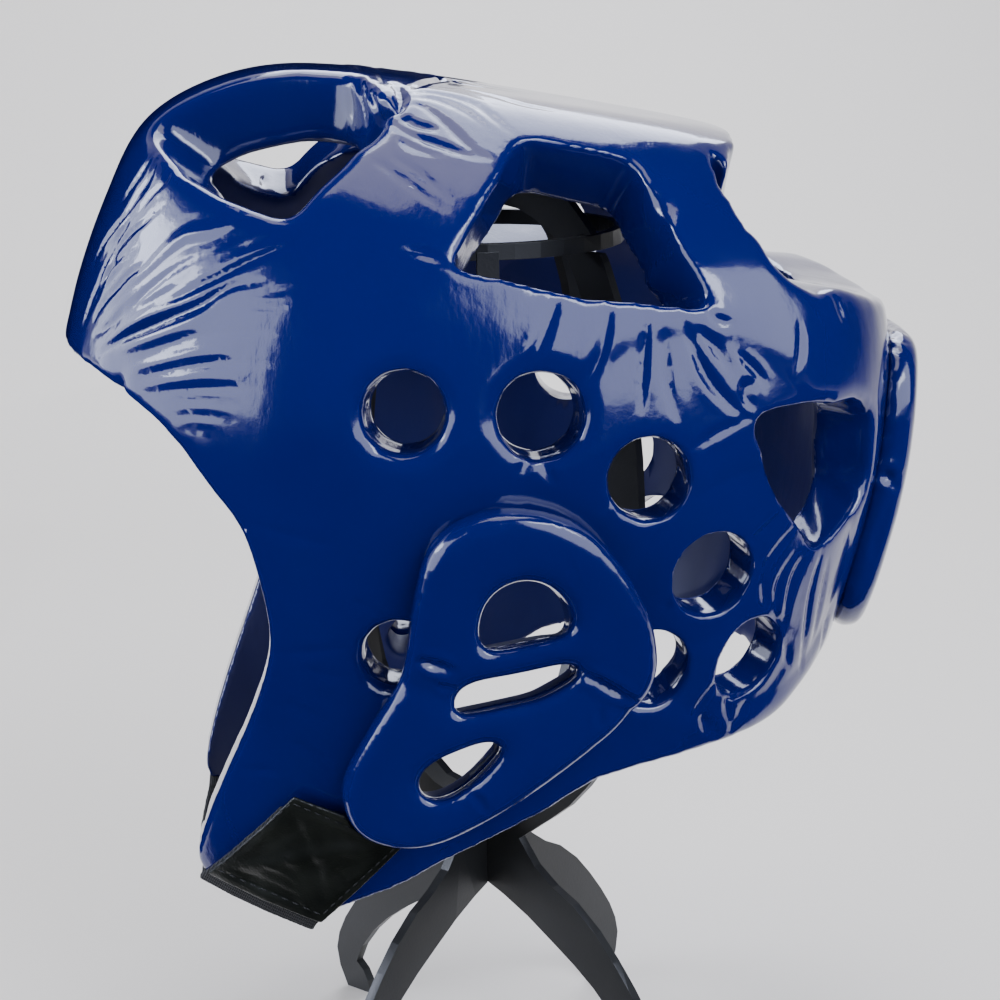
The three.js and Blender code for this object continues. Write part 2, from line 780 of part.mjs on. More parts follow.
const blueVinyl = new THREE.MeshStandardMaterial({ color: 0x0a1f8f, roughness: 0.18, metalness: 0 });
const blackElastic = new THREE.MeshStandardMaterial({ color: 0x101012, roughness: 0.8, metalness: 0 });
const blackLeather = new THREE.MeshStandardMaterial({ color: 0x0b0c0b, roughness: 0.5, metalness: 0 });
const blackPlastic = new THREE.MeshStandardMaterial({ color: 0x1d1e1f, roughness: 0.4, metalness: 0 });

const model = new THREE.Group();
const headgear = new THREE.Group();
model.add(headgear);

headgear.add(meshOf("foam_shell", foamShell(), blueVinyl));
headgear.add(meshOf("ear_pad_left", earPad(1), blueVinyl));
headgear.add(meshOf("ear_pad_right", earPad(-1), blueVinyl));
headgear.add(meshOf("nape_pad", napePad(), blueVinyl));
headgear.add(meshOf("chin_strap", chinStrap(), blackElastic));
headgear.add(meshOf("strap_tab", strapTab(), blackLeather));

// Right half of a stand plate's outer edge, from the waist round the cage to the top
function cageEdge() {
  const cage = standHeight - waistHeight;
  const spots = [new THREE.Vector2(waistWidth / 2, waistHeight)];
  for (const { out, up } of cageOutline) {
    spots.push(new THREE.Vector2(out * cageRadius, waistHeight + up * cage));
  }
  spots.push(new THREE.Vector2(0, standHeight));
  return new THREE.SplineCurve(spots).getPoints(22);
}

const legSpot = ({ out, up }) => new THREE.Vector2(out * footRadius, up * waistHeight);
const mirrored = (points) => points.map((p) => new THREE.Vector2(-p.x, p.y)).reverse();

function plateOutline() {
  const cage = cageEdge();
  const upper = new THREE.SplineCurve([...legTop.map(legSpot), cage[0]]);
  const under = new THREE.SplineCurve(legUnder.map(legSpot).reverse());
  const right = [...under.getPoints(11), ...upper.getPoints(11).slice(0, -1), ...cage];
  return new THREE.Shape([...right, ...mirrored(right.slice(1, -1))]);
}

// The open middle of the cage, one blade's width inside its outer edge
function cageHole() {
  const edge = cageEdge();
  const floor = waistHeight + plateBlade;
  const inner = [];
  for (let i = 0; i < edge.length - 1; i += 1) {
    const way = edge[i + 1].clone().sub(edge[i]).normalize();
    const spot = new THREE.Vector2(edge[i].x - way.y * plateBlade, edge[i].y + way.x * plateBlade);
    if (spot.x > plateThickness && spot.y > floor) inner.push(spot);
  }
  const bottom = new THREE.Vector2(0, inner[0].y - plateThickness);
  const top = new THREE.Vector2(0, standHeight - plateBlade);
  return new THREE.Path([bottom, ...inner, top, ...mirrored(inner)]);
}

function uprightBox(width, low, high) {
  const box = new THREE.BoxGeometry(width, width, high - low);
  box.translate(0, 0, (low + high) / 2);
  return solidFromGeometry(box);
}

function ringBandSolid(inside, outside, height) {
  const low = ringHeight - height / 2;
  const high = ringHeight + height / 2;
  const profile = [
    new THREE.Vector2(inside, low),
    new THREE.Vector2(outside, low),
    new THREE.Vector2(outside, high),
    new THREE.Vector2(inside, high),
    new THREE.Vector2(inside, low),
  ];
  const geometry = new THREE.LatheGeometry(profile, 36);
  geometry.rotateX(Math.PI / 2);
  return solidFromGeometry(geometry);
}

// One of the two plates. They cross at the waist and at the top by halving joints, one
// slotted from below and the other from above, and hold the ring in notches.
function standPlate(slottedFromBelow) {
  const shape = plateOutline();
  shape.holes.push(cageHole());
  const geometry = new THREE.ExtrudeGeometry(shape, { depth: plateThickness, bevelEnabled: false });
  geometry.translate(0, 0, -plateThickness / 2);
  geometry.rotateX(Math.PI / 2);
  const slot = plateThickness + 2 * nestlingGap;
  const waistJoint = waistHeight;
  const topJoint = standHeight - plateBlade / 2;
  const inCage = (waistHeight + standHeight) / 2;
  const cuts = slottedFromBelow
    ? [uprightBox(slot, 0, waistJoint), uprightBox(slot, inCage, topJoint)]
    : [
        uprightBox(slot, waistJoint - nestlingGap, inCage),
        uprightBox(slot, topJoint - nestlingGap, standHeight + slot),
      ];
  const notch = ringBandSolid(
    ringRadius - ringWall - nestlingGap,
    2 * cageRadius,
    ringBand + 2 * nestlingGap,
  );
  const plate = solidFromGeometry(geometry).subtract(notch);
  return cuts.reduce((left, cut) => left.subtract(cut), plate);
}

function standRing() {
  const tab = new THREE.BoxGeometry(ringWall, ringTabWidth, ringTabDrop);
  tab.translate(ringRadius - ringWall / 2, 0, ringHeight - ringTabDrop / 2);
  return ringBandSolid(ringRadius - ringWall, ringRadius, ringBand).add(solidFromGeometry(tab));
}

const stand = new THREE.Group();
stand.rotation.z = radians(standTurn);
const firstPlate = meshOf("stand_plate_lower", standPlate(false), blackPlastic);
const secondPlate = meshOf("stand_plate_upper", standPlate(true), blackPlastic);
secondPlate.rotation.z = Math.PI / 2;
stand.add(firstPlate, secondPlate);
model.add(stand);

const ring = meshOf("stand_ring", standRing(), blackPlastic);
model.add(ring);

// The crown's underside rests on the stand's top, leaning back
const tilt = radians(headgearTilt);
const lean = Math.sin(tilt);
const rise = Math.cos(tilt);
let reach = 0;
for (const edge of cageEdge()) {
  for (const turn of [standTurn, standTurn + 90]) {
    const along = Math.abs(edge.x * Math.sin(radians(turn)));
    const aside = (plateThickness / 2) * Math.abs(Math.cos(radians(turn)));
    reach = Math.max(reach, (along + aside) * lean + edge.y * rise);
  }
}
const crownUnderside = crownHeight - foamThickness;
headgear.rotation.x = -tilt;
const lift = (reach + nestlingGap - crownUnderside - headgearSetback * lean) / rise;
headgear.position.set(0, headgearSetback, lift);

model.updateMatrixWorld(true);
const middle = new THREE.Box3().setFromObject(model, true).getCenter(new THREE.Vector3());
model.position.set(-middle.x, -middle.y, 0);

export default model;
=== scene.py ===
"""Taekwondo headgear on its display stand: the looks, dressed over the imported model."""

import math

import bmesh
import bpy
import numpy as np
from mathutils import Matrix, Vector
from mathutils.bvhtree import BVHTree
from mathutils.kdtree import KDTree


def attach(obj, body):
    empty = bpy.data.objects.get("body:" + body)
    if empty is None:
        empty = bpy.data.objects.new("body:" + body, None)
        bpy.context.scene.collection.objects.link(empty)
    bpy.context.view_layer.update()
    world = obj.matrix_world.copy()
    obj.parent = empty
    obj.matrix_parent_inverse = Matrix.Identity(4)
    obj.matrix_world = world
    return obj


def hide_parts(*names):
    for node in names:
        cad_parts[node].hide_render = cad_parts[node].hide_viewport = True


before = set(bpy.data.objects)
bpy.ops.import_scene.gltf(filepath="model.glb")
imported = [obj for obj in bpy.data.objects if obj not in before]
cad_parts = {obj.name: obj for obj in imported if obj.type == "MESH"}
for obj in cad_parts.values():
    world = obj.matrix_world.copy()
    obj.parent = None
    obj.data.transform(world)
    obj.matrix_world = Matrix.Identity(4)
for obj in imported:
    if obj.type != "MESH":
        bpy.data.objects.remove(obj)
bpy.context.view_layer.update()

# Lengths are in metres
MM = 0.001

# The object's sides, as factors for x
LEFT = (1,)
RIGHT = (-1,)
BOTH = (1, -1)

# The camera, worked out from the photograph
CAMERA_AZIMUTH = math.radians(85.0)
CAMERA_ELEVATION = math.radians(13.5)
CAMERA_ROLL = math.radians(1.0)
CAMERA_DISTANCE = 0.75
CAMERA_TARGET = Vector((0.0, 0.00166, 0.184))
CLIP_START = 0.01
PICTURE_WIDTH = 1000.0
FOCAL_PIXELS = 2362.0
SENSOR_WIDTH = 36.0

# Mesh detail
SHELL_VOXEL = 0.95 * MM
PAD_VOXEL = 0.9 * MM
STRAP_VOXEL = 0.6 * MM
TAB_VOXEL = 0.45 * MM
MOST_TRIANGLES = 190000
MOST_STRAP_TRIANGLES = 70000
SAME_PLACE = 1e-6
SHARP_ANGLE = math.radians(28)
EDGE_SAMPLE = 1.0 * MM

# A turn of relaxing moves each vertex by a share of the way to its neighbours' middle. A mesh has a
# number of turns at its sharp edges and one away from them. The reach says how far from an edge the
# first ends and the second begins
RELAX_SHARE = 0.5
SHELL_TURNS = (8, 130)
STRAP_TURNS = (3, 26)
TAB_TURNS = (4, 30)
SHELL_EDGE_REACH = (2 * MM, 8 * MM)
BAND_EDGE_REACH = (0.8 * MM, 4 * MM)

# The edges of the front and rear windows are rounded more. Each zone fades in from its first value to
# its second: how far forward, how high and how far back
FRONT_WINDOW_TURNS = 45
FRONT_WINDOW_FORWARD = (28 * MM, 44 * MM)
FRONT_WINDOW_HEIGHT = (255 * MM, 270 * MM)
REAR_WINDOW_TURNS = 22
REAR_WINDOW_BACK = (62 * MM, 82 * MM)

# A pad's outer edges are rounded and its foot is sunk into the shell. The zones are heights over the
# shell, from the first value to the second
PAD_TURNS = 3
PAD_ROUNDING_TURNS = 80
PAD_ROUNDING_HEIGHT = (0.4 * MM, 5 * MM)
PAD_SINK = 1.3 * MM
PAD_SINK_HEIGHT = (0.3 * MM, 1.0 * MM)
PAD_FOOT_TURNS = 30
PAD_FOOT_HEIGHT = (1.5 * MM, 5.0 * MM)

# A crease's cross-section, in widths: how far it reaches, how wide it is at its ends, how much wider in
# its middle, and where its lips stand. The lips' height is a share of the depth
CREASE_REACH = 3.4
CREASE_END_WIDTH = 0.55
CREASE_GROWTH = 0.45
LIP_PLACE = 2.1
LIP_HEIGHT = 0.22

# A crease's depth follows half a wave, without this share of it at each end
WAVE_CUT = 0.03

# A dip ends this many times its reach beyond the rim
DIP_CUTOFF = 3

# Objects and camera


def linked(name, data):
    """A new object in the scene."""
    obj = bpy.data.objects.new(name, data)
    bpy.context.scene.collection.objects.link(obj)
    return obj


def outward(azimuth, elevation):
    """A way out from the object. Azimuth 0 is its front and a quarter turn its left side."""
    level = math.cos(elevation)
    return Vector((math.sin(azimuth) * level, -math.cos(azimuth) * level, math.sin(elevation)))


def camera_axes():
    """The camera's right, its up and the way back from the object to it."""
    back = outward(CAMERA_AZIMUTH, CAMERA_ELEVATION)
    level = Vector((0, 0, 1)).cross(back).normalized()
    rise = back.cross(level)
    right = level * math.cos(CAMERA_ROLL) - rise * math.sin(CAMERA_ROLL)
    up = rise * math.cos(CAMERA_ROLL) + level * math.sin(CAMERA_ROLL)
    return right, up, back


CAMERA_RIGHT, CAMERA_UP, CAMERA_BACK = camera_axes()
CAMERA_PLACE = CAMERA_TARGET + CAMERA_BACK * CAMERA_DISTANCE


def add_camera():
    data = bpy.data.cameras.new("camera")
    data.sensor_width = SENSOR_WIDTH
    data.lens = FOCAL_PIXELS / PICTURE_WIDTH * SENSOR_WIDTH
    data.clip_start = CLIP_START
    camera = linked("camera", data)
    turn = Matrix((CAMERA_RIGHT, CAMERA_UP, CAMERA_BACK)).transposed().to_4x4()
    camera.matrix_world = Matrix.Translation(CAMERA_PLACE) @ turn
    bpy.context.scene.camera = camera


def picture_ray(x, y):
    """The way from the camera through a spot of the picture."""
    half = PICTURE_WIDTH / 2
    across = CAMERA_RIGHT * ((x - half) / FOCAL_PIXELS)
    rise = CAMERA_UP * ((half - y) / FOCAL_PIXELS)
    return (across + rise - CAMERA_BACK).normalized()


# Mesh tools


def shade_smooth(data):
    for face in data.polygons:
        face.use_smooth = True


def merged_copy(node, name):
    """A copy of a frame node's mesh with its split vertices joined again."""
    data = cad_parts[node].data.copy()
    data.materials.clear()
    work = bmesh.new()
    work.from_mesh(data)
    bmesh.ops.remove_doubles(work, verts=work.verts, dist=SAME_PLACE)
    work.to_mesh(data)
    work.free()
    return linked(name, data)


def applied(obj):
    """Applies an object's modifiers to its mesh."""
    bpy.context.view_layer.update()
    depsgraph = bpy.context.evaluated_depsgraph_get()
    data = bpy.data.meshes.new_from_object(obj.evaluated_get(depsgraph))
    obj.modifiers.clear()
    obj.data = data


def sharp_edge_points(obj):
    """Points along the edges of a faceted mesh where its surface turns sharply."""
    work = bmesh.new()
    work.from_mesh(obj.data)
    points = []
    for edge in work.edges:
        if len(edge.link_faces) != 2 or edge.calc_length() < EDGE_SAMPLE:
            continue
        if min(face.calc_area() for face in edge.link_faces) < EDGE_SAMPLE**2:
            continue
        if edge.calc_face_angle() < SHARP_ANGLE:
            continue
        a, b = (vert.co for vert in edge.verts)
        steps = max(1, round((b - a).length / EDGE_SAMPLE))
        points.extend(a.lerp(b, step / steps) for step in range(steps + 1))
    work.free()
    return points


def tree_of(points):
    tree = KDTree(len(points))
    for index, point in enumerate(points):
        tree.insert(point, index)
    tree.balance()
    return tree


def skin_of(obj):
    return BVHTree.FromObject(obj, bpy.context.evaluated_depsgraph_get())


def distances_to(points, places):
    tree = tree_of(points)
    return np.array([tree.find(place)[2] for place in places])


def vertex_vectors(obj, kind):
    vectors = np.empty(len(obj.data.vertices) * 3)
    obj.data.vertices.foreach_get(kind, vectors)
    return vectors.reshape(-1, 3)


def places_of(obj):
    return vertex_vectors(obj, "co")


def normals_of(obj):
    return vertex_vectors(obj, "normal")


def set_places(obj, places):
    obj.data.vertices.foreach_set("co", places.ravel())
    obj.data.update()


def edges_of(obj):
    edges = np.empty(len(obj.data.edges) * 2, int)
    obj.data.edges.foreach_get("vertices", edges)
    return edges.reshape(-1, 2)


def neighbour_average(edges, count):
    """A function that averages each vertex's neighbours."""
    first, second = edges[:, 0], edges[:, 1]
    degree = np.bincount(edges.ravel(), minlength=count)[:, None]

    def average(values):
        total = np.zeros_like(values)
        for column in range(values.shape[1]):
            ahead = np.bincount(first, values[second, column], count)
            behind = np.bincount(second, values[first, column], count)
            total[:, column] = ahead + behind
        return total / degree

    return average


def smooth_step(values, low, high):
    share = np.clip((values - low) / (high - low), 0, 1)
    return share * share * (3 - 2 * share)


def smoothed(obj, turns):
    """Relaxes a mesh, each vertex for its own number of turns."""
    places = places_of(obj)
    average = neighbour_average(edges_of(obj), len(places))
    for turn in range(int(turns.max())):
        moving = np.clip(turns - turn, 0, 1)[:, None]
        places += RELAX_SHARE * moving * (average(places) - places)
    set_places(obj, places)


def remeshed(obj, voxel):
    modifier = obj.modifiers.new("remesh", "REMESH")
    modifier.mode = "VOXEL"
    modifier.voxel_size = voxel
    applied(obj)


def thinned(obj, most):
    """Takes triangles out where the surface is plain, until no more than the given number is left."""
    obj.data.calc_loop_triangles()
    count = len(obj.data.loop_triangles)
    if count > most:
        modifier = obj.modifiers.new("decimate", "DECIMATE")
        modifier.ratio = most / count
        applied(obj)
    shade_smooth(obj.data)


def soft_copy(node, name, voxel, turns, edge_reach):
    """A finely meshed copy of a faceted node, whose facets are smoothed out away from its edges."""
    obj = merged_copy(node, name)
    edges = sharp_edge_points(obj)
    remeshed(obj, voxel)
    away = distances_to(edges, places_of(obj))
    near_turns, far_turns = turns
    smoothed(obj, near_turns + (far_turns - near_turns) * smooth_step(away, *edge_reach))
    shade_smooth(obj.data)
    return obj


def seat_of(node):
    """The surface of a frame node, to measure heights over it."""
    work = merged_copy(node, node + "_seat")
    tree = skin_of(work)
    bpy.data.objects.remove(work)
    return tree


# Wrinkles


def between(a, b, share):
    return (a[0] + (b[0] - a[0]) * share, a[1] + (b[1] - a[1]) * share)


def bent_path(places, step):
    """Points at even steps along a smooth curve through the given places."""
    path = []
    last = len(places) - 1
    for index in range(last):
        a = places[max(index - 1, 0)]
        b, c = places[index], places[index + 1]
        d = places[min(index + 2, last)]
        steps = max(2, round((c - b).length / step))
        for turn in range(steps):
            t = turn / steps
            even = 2 * b + (c - a) * t
            square = (2 * a - 5 * b + 4 * c - d) * t * t
            cube = (3 * b - a - 3 * c + d) * t**3
            path.append((even + square + cube) * 0.5)
    path.append(places[-1])
    return path


class Wrinkles:
    """Collects creases and ridges that are pressed into a meshed surface. The carrier is the object
    that the camera sees them on."""

    def __init__(self, obj, carrier):
        self.obj = obj
        self.places = places_of(obj)
        self.push = np.zeros(len(self.places))
        self.tree = tree_of(self.places)
        self.skin = skin_of(carrier)

    def spot(self, x, y):
        """The place on the skin that shows at a spot of the picture."""
        return self.skin.ray_cast(CAMERA_PLACE, picture_ray(x, y))[0]

    def stroke(self, picture_points, width, depth, lips=LIP_HEIGHT, sides=BOTH):
        """One crease along spots of the picture, on the left side and mirrored on the right.
        A depth below zero is a ridge."""
        places = [self.spot(x, y) for x, y in picture_points]
        places = [place for place in places if place is not None]
        if len(places) < 2:
            return
        path = bent_path(places, EDGE_SAMPLE)
        for side in sides:
            self.press([Vector((p.x * side, p.y, p.z)) for p in path], width, depth, lips)

    def press(self, path, width, depth, lips):
        """Pushes the skin in along a path, deepest and widest in its middle."""
        nearest = {}
        count = max(1, len(path) - 1)
        for step, place in enumerate(path):
            fade = math.sin(math.pi * (WAVE_CUT + (1 - 2 * WAVE_CUT) * step / count))
            for _, index, distance in self.tree.find_range(place, CREASE_REACH * width):
                if index not in nearest or distance < nearest[index][0]:
                    nearest[index] = (distance, fade)
        for index, (distance, fade) in nearest.items():
            wide = width * (CREASE_END_WIDTH + CREASE_GROWTH * fade)
            groove = math.exp(-((distance / wide) ** 2))
            lip = lips * math.exp(-(((distance - LIP_PLACE * wide) / wide) ** 2))
            self.push[index] += depth * fade * (lip - groove)

    def dip(self, middle, radius, depth, reach):
        """Sinks the skin around a round hole, most at its rim."""
        for _, index, distance in self.tree.find_range(middle, radius + DIP_CUTOFF * reach):
            beyond = max(0.0, distance - radius)
            self.push[index] -= depth * math.exp(-((beyond / reach) ** 2))

    def apply(self):
        set_places(self.obj, self.places + normals_of(self.obj) * self.push[:, None])


# Each row of the tables of wrinkles is one of them: its spots in the 1000 x 1000 picture, its width and
# its depth, both in mm. A depth below zero is a ridge.

# The forehead's pleats, which fan out from the face edge's front corner
FAN = [
    ([(97, 356), (122, 338), (160, 322), (200, 305), (220, 292), (236, 285), (262, 281)], 1.27, 1.08),
    ([(152, 310), (180, 296), (200, 285), (222, 275), (247, 262), (272, 252), (300, 244)], 1.10, 0.86),
    ([(200, 259), (220, 247), (240, 235), (258, 225), (276, 215)], 1.10, 0.72),
    ([(235, 252), (252, 245), (274, 234)], 0.99, 0.30),
    ([(92, 336), (110, 325), (125, 307), (136, 296)], 0.99, 0.64),
    ([(92, 325), (102, 305), (117, 287), (132, 272), (151, 263)], 0.99, 0.72),
    ([(85, 318), (97, 290), (110, 270), (122, 257), (137, 249)], 0.99, 0.72),
    ([(81, 330), (95, 300), (107, 275), (117, 250), (132, 232), (147, 220), (165, 203)], 1.08, 0.80),
    ([(89, 278), (100, 250), (112, 232), (125, 217), (138, 195), (150, 177), (161, 156)], 1.08, 0.80),
    ([(140, 211), (152, 195), (167, 177), (181, 161)], 0.90, 0.56),
    ([(119, 208), (132, 187), (145, 167), (158, 151)], 0.90, 0.56),
    (
        [(79, 341), (87, 312), (97, 286), (108, 260), (120, 236), (134, 210), (147, 188), (166, 160)],
        0.90,
        0.48,
    ),
    ([(110, 334), (121, 318), (142, 296), (158, 282), (172, 271), (190, 261), (205, 254)], 1.08, 0.64),
    ([(128, 316), (145, 304), (168, 292), (196, 277)], 0.99, 0.30),
    ([(104, 350), (130, 335), (152, 326), (176, 314)], 0.90, 0.25),
    ([(120, 356), (143, 350), (170, 343), (200, 335), (228, 331), (262, 332), (294, 336)], 0.94, 0.28),
    ([(127, 364), (152, 357), (182, 348), (214, 341)], 0.79, 0.22),
    ([(136, 380), (157, 373), (190, 366), (235, 362), (284, 366)], 0.94, 0.28),
    ([(147, 394), (172, 389), (200, 388), (232, 388), (262, 392)], 0.86, 0.25),
    ([(156, 406), (184, 401), (215, 401), (240, 406)], 0.86, 0.22),
    ([(167, 418), (190, 415), (213, 417), (238, 421)], 0.86, 0.22),
    ([(177, 432), (198, 430), (222, 434)], 0.86, 0.15),
    ([(250, 298), (280, 291), (318, 290)], 0.86, 0.15),
    ([(226, 311), (256, 306), (296, 311)], 0.86, 0.15),
    ([(132, 281), (152, 264), (170, 246), (186, 235), (210, 230), (234, 222), (256, 213)], 1.70, -0.67),
    ([(106, 346), (128, 328), (156, 310), (178, 301)], 1.60, -0.58),
    ([(118, 352), (150, 340), (184, 326), (214, 314)], 1.90, -0.58),
    ([(128, 370), (160, 362), (196, 354), (236, 348)], 1.90, -0.58),
    ([(140, 386), (170, 380), (206, 376), (246, 378)], 1.90, -0.48),
    ([(97, 268), (108, 244), (124, 222), (138, 204), (150, 188)], 1.60, -0.58),
    ([(90, 306), (104, 282), (118, 264), (134, 246)], 1.50, -0.48),
]

# Creases of the shell that each show by themselves
CREASES = [
    ([(558, 299), (543, 338), (526, 374)], 1.5, 0.8),
    ([(610, 305), (601, 352), (586, 388)], 1.5, 0.9),
    ([(648, 312), (644, 366), (641, 413)], 1.2, 0.9),
    ([(666, 325), (668, 380), (681, 424)], 1.5, 0.6),
    ([(684, 318), (706, 371), (729, 401), (754, 421)], 1.6, 1.1),
    ([(695, 326), (717, 347), (738, 376)], 1.5, 0.7),
    ([(706, 305), (717, 319), (737, 324)], 1.5, 0.8),
    ([(740, 353), (757, 370), (769, 385)], 1.2, 0.9),
    ([(758, 412), (748, 398), (749, 386), (762, 382)], 1.6, 0.9),
    ([(800, 322), (801, 347), (797, 374)], 1.2, 0.8),
    ([(831, 294), (840, 310), (846, 328)], 1.2, 0.6),
    ([(447, 262), (425, 254), (402, 250)], 1.5, 0.7),
    ([(450, 202), (424, 178), (392, 156)], 1.5, 0.5),
    ([(446, 212), (410, 184), (372, 158)], 1.5, 0.5),
    ([(757, 416), (722, 432), (690, 452)], 1.2, 0.5),
    ([(770, 460), (743, 487), (717, 504)], 1.1, 0.7),
    ([(764, 446), (736, 466), (706, 480)], 1.1, 0.5),
    ([(780, 486), (760, 501), (746, 521)], 1.1, 0.7),
    ([(790, 512), (769, 533), (752, 546)], 1.1, 0.5),
    ([(803, 525), (786, 547), (767, 571)], 1.1, 0.7),
    ([(814, 541), (803, 571), (791, 604), (789, 635)], 1.4, 0.8),
    ([(826, 547), (815, 590), (809, 633), (803, 672)], 1.4, 0.9),
    ([(831, 561), (824, 604), (816, 641)], 1.2, 0.7),
    ([(803, 552), (786, 581), (780, 613), (786, 632)], 1.3, 0.7),
    ([(769, 575), (769, 597), (777, 617)], 1.2, 0.6),
    ([(789, 641), (794, 670), (797, 692)], 1.2, 0.6),
    ([(829, 619), (820, 650), (809, 685)], 1.3, 0.6),
    ([(746, 687), (731, 705), (734, 730)], 1.3, 0.8),
    ([(703, 715), (707, 736)], 1.3, 0.7),
    ([(721, 680), (707, 700), (693, 720)], 1.1, 0.8),
    ([(684, 592), (668, 608), (656, 622)], 1.1, 0.7),
    ([(614, 498), (606, 508), (600, 518)], 1.1, 0.5),
    ([(534, 455), (525, 466), (516, 477)], 1.2, 0.6),
    ([(540, 458), (548, 474), (556, 484)], 1.4, 0.45),
    ([(700, 718), (712, 728), (720, 738)], 1.6, 0.7),
    ([(752, 704), (738, 722), (728, 732)], 1.5, 0.6),
    ([(272, 652), (310, 652), (348, 648)], 1.3, 0.35),
    ([(300, 668), (330, 676), (352, 678)], 1.3, 0.35),
    ([(278, 700), (306, 712), (330, 726)], 1.3, 0.35),
    ([(284, 740), (312, 752), (336, 774)], 1.3, 0.4),
    ([(240, 770), (262, 770), (286, 772)], 1.3, 0.35),
    ([(350, 600), (392, 616), (404, 628)], 1.4, 0.4),
    ([(244, 520), (290, 536), (340, 548)], 1.4, 0.3),
]

# The gathers at the knot where the arch meets the crown
KNOT_GATHERS = [
    ([(403, 70), (394, 83), (401, 96), (394, 112), (381, 122)], 1.7, 2.0),
    ([(358, 66), (365, 90), (383, 111)], 1.5, 1.1),
    ([(350, 82), (352, 106), (354, 130)], 1.3, 0.8),
    ([(361, 78), (364, 104), (370, 130)], 1.2, 0.7),
    ([(370, 84), (375, 106), (382, 124)], 1.1, 0.7),
    ([(367, 69), (377, 92), (388, 108)], 1.3, 1.0),
    ([(377, 71), (386, 90), (392, 103)], 1.2, 0.8),
    ([(404, 92), (424, 84), (452, 80), (488, 86), (518, 91)], 1.4, 1.0),
    ([(404, 97), (428, 92), (466, 100), (498, 122), (514, 134)], 1.5, 0.9),
    ([(403, 101), (430, 98), (462, 110), (486, 128)], 1.3, 0.6),
    ([(402, 107), (422, 106), (446, 124), (470, 148), (492, 160)], 1.4, 0.8),
    ([(398, 115), (416, 125), (440, 131)], 1.4, 1.0),
    ([(388, 124), (415, 136), (450, 149), (482, 160)], 1.4, 0.9),
    ([(376, 134), (410, 145), (448, 156)], 1.4, 0.7),
    ([(414, 76), (436, 72), (470, 76)], 1.3, 0.8),
    ([(430, 86), (470, 90), (520, 104), (560, 112)], 1.5, 0.4),
]

# Folds of the ear pads
EAR_PAD_FOLDS = [
    ([(400, 654), (416, 660), (436, 666), (456, 671), (474, 683)], 1.5, 1.9),
    ([(436, 685), (446, 688), (457, 689)], 1.2, 0.6),
    ([(578, 668), (595, 680), (612, 690), (640, 702)], 1.5, 1.9),
    ([(603, 709), (601, 719), (599, 729)], 1.3, 0.8),
    ([(469, 783), (478, 799), (489, 815)], 1.3, 0.9),
    ([(424, 560), (438, 540), (460, 520)], 1.4, 0.25),
    ([(560, 552), (572, 570), (580, 592)], 1.2, 0.2),
]

# Folds of the nape pad
NAPE_PAD_FOLDS = [
    ([(876, 462), (888, 477), (898, 488), (912, 500)], 2.0, 2.2),
    ([(884, 318), (893, 327), (905, 334)], 1.3, 0.8),
    ([(888, 330), (898, 339), (909, 344)], 1.2, 0.6),
    ([(890, 344), (900, 352), (910, 356)], 1.2, 0.5),
    ([(872, 560), (880, 530), (890, 508)], 1.6, 0.5),
]

# Dents of the strap's patch
TAB_DENTS = [
    ([(240, 866), (290, 860), (340, 852), (386, 847)], 2.8, -0.9),
    ([(292, 812), (302, 840), (314, 870), (324, 904)], 2.4, 0.8),
    ([(236, 872), (268, 886), (300, 900)], 2.4, 0.75),
    ([(318, 822), (340, 836), (372, 848)], 2.2, 0.6),
    ([(258, 846), (280, 838), (300, 826)], 2.0, 0.45),
    ([(332, 868), (344, 882), (346, 890)], 1.8, 0.5),
    ([(262, 862), (284, 872), (300, 884)], 1.6, -0.4),
    ([(322, 880), (334, 866), (352, 862)], 1.6, -0.4),
]

# Rows of short creases across the shell's lower edge: the spots where the first and the last crease
# begin, the spots where these two end, and how many there are. Each crease begins at a random place in
# its own part of the row, slants by a random share of the row and has a random depth in mm
EDGE_ROWS = [
    ((455, 842), (700, 748), (440, 858), (690, 762), 15),
    ((396, 866), (450, 846), (384, 882), (440, 862), 4),
]
EDGE_CREASE_WIDTH = 1.3 * MM
EDGE_CREASE_DEPTHS = (0.3, 0.6)
EDGE_CREASE_PLACES = (0.1, 0.9)
EDGE_CREASE_SLANT = 0.02

# The round vents: the spot of each one's middle and a radius in pixels that lies just outside its rim
VENTS = [((404, 411), 43), ((541, 411), 43), ((650, 477), 38), ((721, 568), 36), ((756, 661), 33)]
RIM_TURNS = [math.radians(30 * step) for step in range(12)]
VENT_DIP = 1.1 * MM
VENT_DIP_REACH = 3.5 * MM

# The corners of the patch's sewn line, back to the first, and the line's groove
TAB_STITCH_LINE = [(217, 869), (292, 803), (396, 847), (322, 915), (217, 869)]
SEAM_SHARES = (-0.02, 0.25, 0.5, 0.75, 1.02)
SEAM_WIDTH = 1.0 * MM
SEAM_DEPTH = 0.4 * MM
SEAM_LIPS = 0.3
DENT_LIPS = 0.15

# The stitches lie a little above the groove, by a share of their radius
SEAM_SAMPLES = 40
STITCH_LENGTH = 2.3 * MM
STITCH_GAP = 0.9 * MM
STITCH_RADIUS = 0.27 * MM
STITCH_RISE = 0.4

rng = np.random.default_rng(11)


# Foam shell and pads


def edge_gathers(wrinkles):
    for first_top, last_top, first_foot, last_foot, count in EDGE_ROWS:
        for index in range(count):
            share = (index + rng.uniform(*EDGE_CREASE_PLACES)) / count
            top = between(first_top, last_top, share)
            slant = rng.uniform(-EDGE_CREASE_SLANT, EDGE_CREASE_SLANT)
            foot = between(first_foot, last_foot, share + slant)
            wrinkles.stroke([top, foot], EDGE_CREASE_WIDTH, rng.uniform(*EDGE_CREASE_DEPTHS) * MM)


